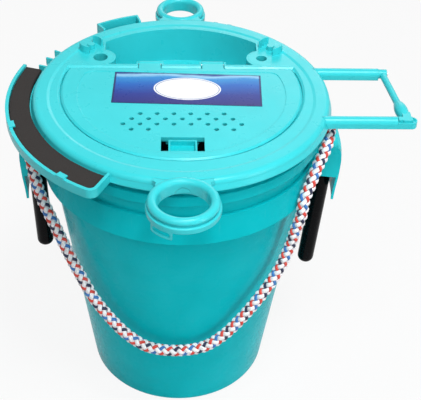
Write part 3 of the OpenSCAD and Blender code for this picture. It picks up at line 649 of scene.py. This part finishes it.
@dataclass
class Route:
    """A smooth line through given points, walked at even steps.

    Args:
        knots: The points.
        step: Length of a step.
        fine: Length of a step of the line that the even steps are taken from.
    """

    # The first side is square to this, so it is a direction that no route starts in
    FIRST_SIDE = Vector((0.2, 0.9, 0.4))

    knots: list[Point]
    step: float = 0.0012
    fine: float = 0.0008

    def __post_init__(self) -> None:
        """Walk the line and carry a frame along it."""
        dense = self._curve()
        self.length = sum((b - a).length for a, b in zip(dense, dense[1:]))
        self.points = self._even(dense, max(2, round(self.length / self.step)))
        self.frames = self._carry()

    def _curve(self) -> list[Vector]:
        """Give a dense centripetal line through the knots."""
        p = [Vector(k) for k in self.knots]
        p = [2 * p[0] - p[1], *p, 2 * p[-1] - p[-2]]
        found = []
        for i in range(1, len(p) - 2):
            steps = max(4, round((p[i + 1] - p[i]).length / self.fine))
            for k in range(steps):
                found.append(self._between(p[i - 1], p[i], p[i + 1], p[i + 2], k / steps))
        return [*found, p[-2]]

    def _between(self, a: Vector, b: Vector, c: Vector, d: Vector, t: float) -> Vector:
        """Give a point between b and c, a share t of the way, with even tangents."""
        lab, lbc, lcd = (max(1e-9, math.sqrt((q - o).length)) for o, q in ((a, b), (b, c), (c, d)))
        m1 = (c - b) + lbc * ((b - a) / lab - (c - a) / (lab + lbc))
        m2 = (c - b) + lbc * ((d - c) / lcd - (d - b) / (lbc + lcd))
        t2, t3 = t * t, t * t * t
        near = (2 * t3 - 3 * t2 + 1) * b + (t3 - 2 * t2 + t) * m1
        return near + (3 * t2 - 2 * t3) * c + (t3 - t2) * m2

    def _even(self, dense: list[Vector], count: int) -> list[Vector]:
        """Give count + 1 points at even steps along a dense line."""
        target, found, gone, i = self.length / count, [dense[0]], 0.0, 0
        for k in range(1, count):
            while gone + (dense[i + 1] - dense[i]).length < k * target:
                gone += (dense[i + 1] - dense[i]).length
                i += 1
            span = (dense[i + 1] - dense[i]).length
            found.append(dense[i].lerp(dense[i + 1], (k * target - gone) / span))
        return [*found, dense[-1]]

    def _carry(self) -> list[tuple[Vector, Vector]]:
        """Carry two directions square to the line along it without twist."""
        p = self.points
        found, side = [], None
        for i in range(len(p)):
            ahead = (p[min(i + 1, len(p) - 1)] - p[max(i - 1, 0)]).normalized()
            if side is None:
                side = ahead.cross(self.FIRST_SIDE).normalized()
            side = (side - ahead * side.dot(ahead)).normalized()
            found.append((side.copy(), ahead.cross(side)))
        return found


@dataclass
class Braid:
    """A diamond braid laid round a route.

    Args:
        route: Line of the rope's middle.
        radius: Outer radius of the rope.
        pitch: Length of one full turn of a strand.
        strands: Number of strands that turn each way.
        white_w: Half the width of a strand of the white set.
        fleck_w: Half the width of a strand of the coloured set.
        thick: Half the thickness of a strand.
        sides: Points round a strand.
        neck: How much thinner the rope is where it leaves a hole.
        neck_length: Length over which it gains that back.
        sink: Depth of the strands' middle under the surface, in half thicknesses.
        rise: How far a strand goes over and under the others, in half thicknesses.
        fleck_rise: Share of that rise that the coloured set has.
        core_sink: Depth of the core's surface, in half thicknesses.
        flecks: Colours of the coloured set in turn.
    """

    CORE_SIDES = 12
    CORE_STRIDE = 4
    CORE_TEXTURE = 0.05
    STRAND_TEXTURE = 0.3

    route: Route
    radius: float = 0.006
    pitch: float = 0.034
    strands: int = 4
    white_w: float = 0.0024
    fleck_w: float = 0.0018
    thick: float = 0.0014
    sides: int = 10
    neck: float = 0.0
    neck_length: float = 0.02
    sink: float = 1.8
    rise: float = 0.85
    fleck_rise: float = 0.85
    core_sink: float = 2.9
    flecks: tuple[YarnColour, ...] = (
        YarnColour.RED,
        YarnColour.NAVY,
        YarnColour.RED,
        YarnColour.BLUE,
    )

    def build(self, name: str, finishes: Finishes) -> bpy.types.Object:
        """Make the rope as one mesh.

        Args:
            name: Name of the piece.
            finishes: The finishes.

        Returns:
            The rope.
        """
        sheet = MeshSheet()
        self._core(sheet)
        for k in range(self.strands):
            self._strand(sheet, k, 1, YarnColour.WHITE, self.white_w)
            self._strand(sheet, k, -1, self.flecks[k % len(self.flecks)], self.fleck_w)
        return sheet.build(name, [finishes.yarns[colour] for colour in YarnColour])

    def _radius_at(self, s: float) -> float:
        """Give the rope's radius at a length s, drawn in where it leaves a hole."""
        share = max(0.0, min(1.0, min(s, self.route.length - s) / self.neck_length))
        return self.radius - self.neck * (1 - share * share * (3 - 2 * share))

    def _core(self, sheet: MeshSheet) -> None:
        """Add the core that closes the gaps between strands."""
        inner = self.radius - self.neck - self.core_sink * self.thick
        rings = []
        turns = [2 * math.pi * k / self.CORE_SIDES for k in range(self.CORE_SIDES)]
        for i in range(0, len(self.route.points), self.CORE_STRIDE):
            n, b = self.route.frames[i]
            middle = self.route.points[i]
            rings.append([middle + inner * (math.cos(a) * n + math.sin(a) * b) for a in turns])
        sheet.loft(rings, YarnColour.NAVY.value, along=self.CORE_TEXTURE)

    def _strand(
        self, sheet: MeshSheet, index: int, turn: int, colour: YarnColour, half_w: float
    ) -> None:
        """Add one strand.

        Args:
            sheet: Mesh to add to.
            index: Number of the strand in its set.
            turn: 1 or -1, the way it turns.
            colour: Colour of the strand.
            half_w: Half its width.
        """
        lift = self.rise * self.thick
        fine = 1.0 if colour is YarnColour.WHITE else self.fleck_rise
        step = self.route.length / (len(self.route.points) - 1)
        line = []
        for i, centre in enumerate(self.route.points):
            n, b = self.route.frames[i]
            s = i * step
            angle = turn * 2 * math.pi * s / self.pitch + 2 * math.pi * index / self.strands
            middle = self._radius_at(s) - self.sink * self.thick
            weave = math.cos(2 * math.pi * self.strands * s / self.pitch)
            reach = middle + turn * lift * fine * weave
            out = math.cos(angle) * n + math.sin(angle) * b
            line.append((centre + reach * out, out))
        rings = []
        for i, (p, out) in enumerate(line):
            ahead = (line[min(i + 1, len(line) - 1)][0] - line[max(i - 1, 0)][0]).normalized()
            out = (out - ahead * out.dot(ahead)).normalized()
            side = ahead.cross(out)
            ring = []
            for k in range(self.sides):
                a = 2 * math.pi * k / self.sides
                ring.append(p + half_w * math.cos(a) * side + self.thick * math.sin(a) * out)
            rings.append(ring)
        sheet.loft(rings, colour.value, along=self.STRAND_TEXTURE)


@dataclass
class RopeHandle:
    """The rope from ear to ear, and its two tails inside the ears.

    Args:
        diameter: Diameter of the rope.
        puff: How far the crowns of the strands stand out of that diameter.
        knots: Route of the free stretch, right ear to left ear, in millimetres.
        hole_x: Distance from the pail's axis to the rope holes.
        top: Height of the ear's top.
        bottom: Height where a tail enters its sleeve.
        leans: Lean of the right and of the left tail inside its sleeve in degrees.
        slack: Room between the rope and a hole, on the radius.
        mouth: How far a braided tail runs into its sleeve.
    """

    diameter: float = 0.012
    puff: float = 0.0009
    hole_x: float = 0.162
    top: float = 0.321
    bottom: float = 0.269
    leans: tuple[float, float] = (4.0, 1.5)
    slack: float = 0.0003
    mouth: float = 0.012
    knots: tuple[Point, ...] = (
        (162, 0, 321), (162, 0, 324), (162, -3, 336), (162, -12, 345), (161, -24, 348),
        (158, -36, 347), (155, -48, 342), (149, -60, 334), (142, -72, 325), (135, -84, 313),
        (129, -93, 301), (127, -97, 283), (122, -98, 262), (118, -98, 240), (104, -106, 205),
        (82, -119, 175), (61, -125, 147), (46, -128, 131), (28, -130, 118), (-2, -131, 112),
        (-34, -128, 114), (-52, -124, 123), (-68, -118, 135), (-95, -105, 166), (-106, -99, 186),
        (-117, -91, 207), (-128, -82, 229), (-138, -73, 250), (-147, -64, 267), (-153, -59, 283),
        (-157, -55, 301), (-160, -50, 319), (-161, -45, 335), (-162, -36, 345), (-162, -24, 348),
        (-162, -12, 345), (-162, -3, 336), (-162, 0, 324), (-162, 0, 321),
    )

    def build(self, finishes: Finishes) -> list[bpy.types.Object]:
        """Make the free stretch and both tails.

        Args:
            finishes: The finishes.

        Returns:
            The three pieces.
        """
        route = Route([tuple(value / MM_PER_M for value in knot) for knot in self.knots])
        braid = Braid(route, self.diameter / 2 + self.puff, neck=self.puff + self.slack)
        rope = braid.build("braided_rope", finishes)
        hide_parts("rope_handle")
        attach(rope, Body.BUCKET.value)
        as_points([tuple(p) for p in route.points[::4]] + [tuple(route.points[-1])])
        return [rope, self._tail(Hand.RIGHT, finishes), self._tail(Hand.LEFT, finishes)]

    def _tail(self, hand: Hand, finishes: Finishes) -> bpy.types.Object:
        """Make the rope inside one ear and the mouth of its sleeve."""
        x, side = self.hole_x * hand.value, hand.name.lower()
        tilt = math.radians(self.leans[0] if hand is Hand.RIGHT else self.leans[1])
        end = x - hand.value * self.mouth * math.sin(tilt)
        low = (end, 0.0, self.bottom - self.mouth * math.cos(tilt))
        middle = (x, 0.0, (self.top + self.bottom) / 2)
        route = Route([(x, 0.0, self.top), middle, (x, 0.0, self.bottom), low])
        tail = Braid(route, self.diameter / 2 - self.slack).build(f"braided_tail_{side}", finishes)
        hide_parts(f"rope_tail_{side}")
        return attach(tail, Body.BUCKET.value)


@dataclass
class FoamStrip:
    """Foam strip with soft edges in the channel on the lid's left.

    Args:
        inner: Radius of its inner side about the lid's axis.
        outer: Radius of its outer side about the channel's centre.
        centre: Centre of the outer side.
        corner: Radius of its front outer corner.
        start: Direction of the back end in degrees.
        stop: Direction of the front end in degrees.
        low: Height of its underside.
        high: Height of its face.
        edge: Radius of its edges.
        steps: Number of steps along it.
        wave: Height of the soft waves in its face.
        sag: How far the waves' middle lies under the face's height.
    """

    ROUND_POINTS = 4
    FACE_POINTS = 3

    inner: float = 0.1622
    outer: float = 0.1811
    centre: tuple[float, float] = (-0.0015, -0.0074)
    corner: float = 0.0052
    start: float = 162.0
    stop: float = 242.3
    low: float = 0.3646
    high: float = 0.3706
    edge: float = 0.0012
    steps: int = 150
    wave: float = 0.00025
    sag: float = 0.0003

    def build(self, finishes: Finishes) -> bpy.types.Object:
        """Make the strip.

        Args:
            finishes: The finishes.

        Returns:
            The strip.
        """
        sheet, rings = MeshSheet(), []
        for i in range(self.steps + 1):
            angle = math.radians(self.start + (self.stop - self.start) * i / self.steps)
            rings.append(self._ring(angle, self.edge if i in (0, self.steps) else 0.0))
        sheet.loft(rings)
        strip = sheet.build("foam_pad", [finishes.foam])
        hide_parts("foam_strip")
        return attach(strip, Body.LID.value)

    def _ring(self, angle: float, shrink: float) -> list[Vector]:
        """Give the outline of the strip at one direction, pulled in by shrink."""
        e = Vector((math.cos(angle), math.sin(angle), 0))
        c = Vector((*self.centre, 0))
        along = c.dot(e)
        far = along + math.sqrt(self.outer ** 2 - c.length_squared + along ** 2)
        near = self.inner
        gone = max(0.0, self.corner - math.radians(self.stop) * far + angle * far)
        far -= self.corner - math.sqrt(max(0.0, self.corner ** 2 - gone ** 2))
        corners = (
            (far - self.edge, self.high - self.edge, 0),
            (near + self.edge, self.high - self.edge, 90),
            (near + self.edge, self.low + self.edge, 180),
            (far - self.edge, self.low + self.edge, 270),
        )
        dip = self.wave * math.sin(23 * angle) * math.sin(7 * angle + 1)
        reach, step = self.edge - shrink, 90 // (self.ROUND_POINTS - 1)
        ring = []
        for r, z, turn in corners:
            for k in range(self.ROUND_POINTS):
                a = math.radians(turn + step * k)
                height = z + reach * math.sin(a) + (dip - self.sag if turn < 180 else 0.0)
                ring.append(e * (r + reach * math.cos(a)) + Vector((0, 0, height)))
            if turn == 0:
                height = self.high - shrink + dip - self.sag
                for k in range(1, self.FACE_POINTS + 1):
                    r = far + (near - far) * k / (self.FACE_POINTS + 1)
                    ring.append(e * r + Vector((0, 0, height)))
        return ring


@dataclass
class Dressing:
    """Gives carried-over CAD nodes their finishes.

    Args:
        nodes: The CAD nodes by name.
        finishes: The finishes.
    """

    nodes: dict[str, bpy.types.Object]
    finishes: Finishes

    def dress(self, material: Material, *names: str) -> None:
        """Put a material on the named nodes.

        Args:
            material: The material.
            names: Node names.
        """
        for name in names:
            node = self.nodes[name]
            if not node.material_slots:
                node.data.materials.append(material)
            for slot in node.material_slots:
                slot.material = material

    def run(self) -> None:
        """Dress every node that stays."""
        f = self.finishes
        self.dress(f.pail, "pail_shell")
        self.dress(f.ear, "rope_ear_left", "rope_ear_right")
        self.dress(
            f.lid, "lid_shell", "tackle_tray", "rod_ring_front", "rod_ring_back", "pump_arm_front",
            "pump_arm_back", "foam_channel", "tool_pocket", "line_clip_left", "line_clip_right",
            "rim_fins", "access_hatch", "hanger_gate",
        )
        self.dress(f.latch, "hatch_latch")
        self.dress(f.sleeve, "rope_sleeve_left", "rope_sleeve_right")
        self.dress(f.gasket, "lid_gasket")
        self.dress(f.steel, "hinge_pin_left", "hinge_pin_right", "gate_pin")
        self.dress(f.label, "hatch_label")


@dataclass
class PhotoCamera:
    """Camera at the photograph's viewpoint.

    Args:
        place: Where it stands.
        yaw: Turn to the right of +Y in radians.
        pitch: Tilt down in radians.
        roll: Roll in radians.
        focal: Focal length in pixels of the photograph.
        width: Width of the photograph in pixels.
        sensor: Width of the sensor in millimetres.
        clip: Nearest and farthest distance that it sees.
    """

    place: Point = (-0.016876, -0.968459, 1.000403)
    yaw: float = 0.0536001
    pitch: float = 0.6742059
    roll: float = 0.0367042
    focal: float = 1068.1556
    width: float = 421.0
    sensor: float = 36.0
    clip: Span = (0.05, 50.0)

    def build(self) -> None:
        """Make the camera and set it as the scene's camera."""
        ahead = Vector(
            (
                math.sin(self.yaw) * math.cos(self.pitch),
                math.cos(self.yaw) * math.cos(self.pitch),
                -math.sin(self.pitch),
            )
        )
        level = Vector((math.cos(self.yaw), -math.sin(self.yaw), 0.0))
        above = level.cross(ahead)
        right = math.cos(self.roll) * level + math.sin(self.roll) * above
        up = -math.sin(self.roll) * level + math.cos(self.roll) * above
        data = bpy.data.cameras.new("photo_camera")
        data.sensor_fit = "HORIZONTAL"
        data.sensor_width = self.sensor
        data.lens = self.focal / self.width * self.sensor
        data.clip_start, data.clip_end = self.clip
        camera = bpy.data.objects.new("photo_camera", data)
        turned = Matrix((right, up, -ahead)).transposed()
        camera.matrix_world = Matrix.Translation(self.place) @ turned.to_4x4()
        bpy.context.scene.collection.objects.link(camera)
        bpy.context.scene.camera = camera


@dataclass(frozen=True)
class Softbox:
    """A rectangular lamp that faces a target.

    Args:
        name: Its name.
        place: Where it stands.
        target: What it faces.
        power: Power in watts.
        size: Width and height.
    """

    name: str
    place: Point
    target: Point
    power: float
    size: Span

    def build(self) -> None:
        """Make the lamp."""
        data = bpy.data.lights.new(self.name, "AREA")
        data.shape = "RECTANGLE"
        data.size, data.size_y = self.size
        data.energy = self.power
        lamp = bpy.data.objects.new(self.name, data)
        lamp.location = self.place
        lamp.rotation_mode = "QUATERNION"
        ahead = Vector(self.target) - Vector(self.place)
        lamp.rotation_quaternion = ahead.to_track_quat("-Z", "Y")
        bpy.context.scene.collection.objects.link(lamp)


@dataclass
class Studio:
    """Pale floor, white surroundings and soft lamps.

    Args:
        sky: Strength of the even light from all round.
        half: Half the width of the floor.
        drop: How far the floor lies under the pail's foot.
        glow: Share of plain white in what the camera and shiny things see of the floor.
        lamps: The lamps, from above, from the front, from the right and from behind.
    """

    sky: float = 0.13
    half: float = 25.0
    drop: float = 0.0004
    glow: float = 0.9
    lamps: tuple[Softbox, ...] = (
        Softbox("key_softbox", (0.3, -0.62, 2.2), (0, 0, 0.3), 30.0, (0.6, 0.5)),
        Softbox("top_softbox", (-0.3, -1.3, 1.9), (0, 0, 0.3), 12.5, (1.3, 0.9)),
        Softbox("front_softbox", (-0.3, -2.2, 1.1), (0, 0, 0.2), 1.5, (1.2, 0.9)),
        Softbox("right_softbox", (1.3, -1.1, 0.8), (0, 0, 0.25), 8.0, (0.4, 0.9)),
        Softbox("rear_softbox", (0.5, 2.1, 1.3), (0, 0, 0.25), 7.0, (1.0, 0.8)),
    )

    def build(self) -> None:
        """Make the world, the floor and the lamps."""
        self._world()
        self._floor()
        for lamp in self.lamps:
            lamp.build()

    def _world(self) -> None:
        """Make a white world that the camera and shiny things see at full strength."""
        world = bpy.data.worlds.new("studio")
        bpy.context.scene.world = world
        world.use_nodes = True
        tree = world.node_tree
        ground = tree.nodes["Background"]
        seen = self._seen(tree)
        reach = tree.nodes.new("ShaderNodeMapRange")
        reach.inputs["To Min"].default_value = self.sky
        reach.inputs["To Max"].default_value = 1.0
        tree.links.new(seen, reach.inputs["Value"])
        ground.inputs["Color"].default_value = (1.0, 1.0, 1.0, 1.0)
        tree.links.new(reach.outputs[0], ground.inputs["Strength"])

    def _seen(self, tree: bpy.types.NodeTree) -> Socket:
        """Give 1 for a ray from the camera, a mirror or a clear body, and 0 for any other."""
        path = tree.nodes.new("ShaderNodeLightPath")
        total = path.outputs["Is Camera Ray"]
        for name in ("Is Glossy Ray", "Is Transmission Ray"):
            node = tree.nodes.new("ShaderNodeMath")
            node.operation = "MAXIMUM"
            tree.links.new(total, node.inputs[0])
            tree.links.new(path.outputs[name], node.inputs[1])
            total = node.outputs[0]
        return total

    def _floor(self) -> None:
        """Make the floor, which stays almost white and keeps a soft shadow."""
        mesh = bpy.data.meshes.new("studio_floor")
        h = self.half
        mesh.from_pydata([(-h, -h, 0), (h, -h, 0), (h, h, 0), (-h, h, 0)], [], [(0, 1, 2, 3)])
        floor = bpy.data.objects.new("studio_floor", mesh)
        floor.location = (0, 0, -self.drop)
        bpy.context.scene.collection.objects.link(floor)
        r = Recipe("studio_paper")
        r.paint(r.mix(r.noise(scale=40.0, detail=3.0), (0.66, 0.66, 0.67), (0.7, 0.7, 0.7)))
        r.set(Roughness=0.9)
        glow = r.tree.nodes.new("ShaderNodeEmission")
        glow.inputs["Color"].default_value = (1.0, 1.0, 1.0, 1.0)
        both = r.tree.nodes.new("ShaderNodeMixShader")
        r.wire(r.math("MULTIPLY", self._seen(r.tree), self.glow), both.inputs[0])
        r.wire(r.shader.outputs[0], both.inputs[1])
        r.wire(glow.outputs[0], both.inputs[2])
        r.wire(both.outputs[0], r.output.inputs["Surface"])
        mesh.materials.append(r.material)


def main() -> None:
    """Build the camera, the ropes, the soft pieces, the finishes and the studio."""
    logging.basicConfig(level=logging.INFO, format="%(name)s: %(message)s")
    bpy.context.scene.view_settings.view_transform = "Standard"
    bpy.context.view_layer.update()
    PhotoCamera().build()
    finishes = Finishes()
    for piece in RopeHandle().build(finishes):
        LOG.info("made %s with %d faces", piece.name, len(piece.data.polygons))
    strip = FoamStrip().build(finishes)
    LOG.info("made %s with %d faces", strip.name, len(strip.data.polygons))
    Dressing(frame["nodes"], finishes).run()
    Studio().build()


if __name__ == "__main__":
    main()
